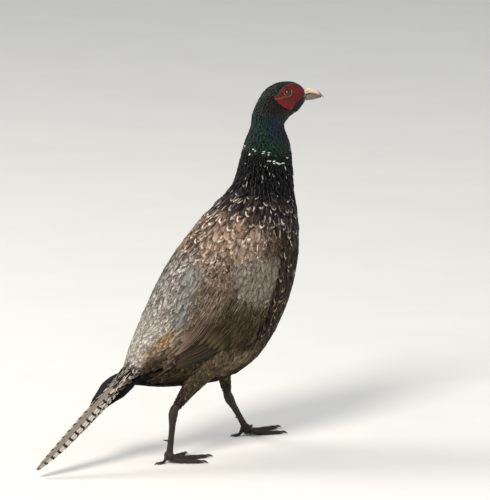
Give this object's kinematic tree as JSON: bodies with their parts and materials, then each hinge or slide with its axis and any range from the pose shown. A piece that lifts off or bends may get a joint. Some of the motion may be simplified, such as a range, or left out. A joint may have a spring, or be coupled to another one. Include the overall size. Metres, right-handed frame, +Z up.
{
  "type": "common pheasant",
  "caption": "Life-size still cock pheasant standing in mid stride, head turned to its right, wings folded and tail drooping.",
  "frame": {"origin": "on the floor, under the middle of the bird's box", "axes": "+X is the way the body faces, +Y its left side, +Z up"},
  "size_m": [0.4334, 0.1318, 0.4682],
  "materials": {
    "green_plumage": "glossy dark green feathers with a blue sheen",
    "dark_plumage": "near-black purple feathers with small pale marks",
    "body_plumage": "brown and grey feathers with cream edges and dark centres",
    "wing_plumage": "olive-brown and pale grey flight feathers and coverts",
    "tail_plumage": "mauve-brown feathers with cream edges and dark bars",
    "face_skin": "bare red skin covered in small soft bumps",
    "bill": "pale ivory horn, darker below",
    "leg_skin": "grey-brown scaled skin",
    "claw": "dark worn horn",
    "eye": "wet brown eye"
  },
  "bodies": {
    "root": {"torso": "body_plumage", "neck_lower": "dark_plumage", "neck_upper": "green_plumage", "head": "green_plumage", "eye_left": "eye", "eye_right": "eye", "wattle_left": "face_skin", "wattle_right": "face_skin", "bill_upper": "bill", "bill_lower": "bill", "wing_left": "wing_plumage", "wing_right": "wing_plumage", "tail": "tail_plumage", "thigh_left": "body_plumage", "thigh_right": "body_plumage", "shank_left": "leg_skin", "shank_right": "leg_skin", "toe_left_hallux": "leg_skin", "toe_left_inner": "leg_skin", "toe_left_middle": "leg_skin", "toe_left_outer": "leg_skin", "toe_right_hallux": "leg_skin", "toe_right_inner": "leg_skin", "toe_right_middle": "leg_skin", "toe_right_outer": "leg_skin", "claw_left_hallux": "claw", "claw_left_inner": "claw", "claw_left_middle": "claw", "claw_left_outer": "claw", "claw_right_hallux": "claw", "claw_right_inner": "claw", "claw_right_middle": "claw", "claw_right_outer": "claw"}
  },
  "joints": []
}
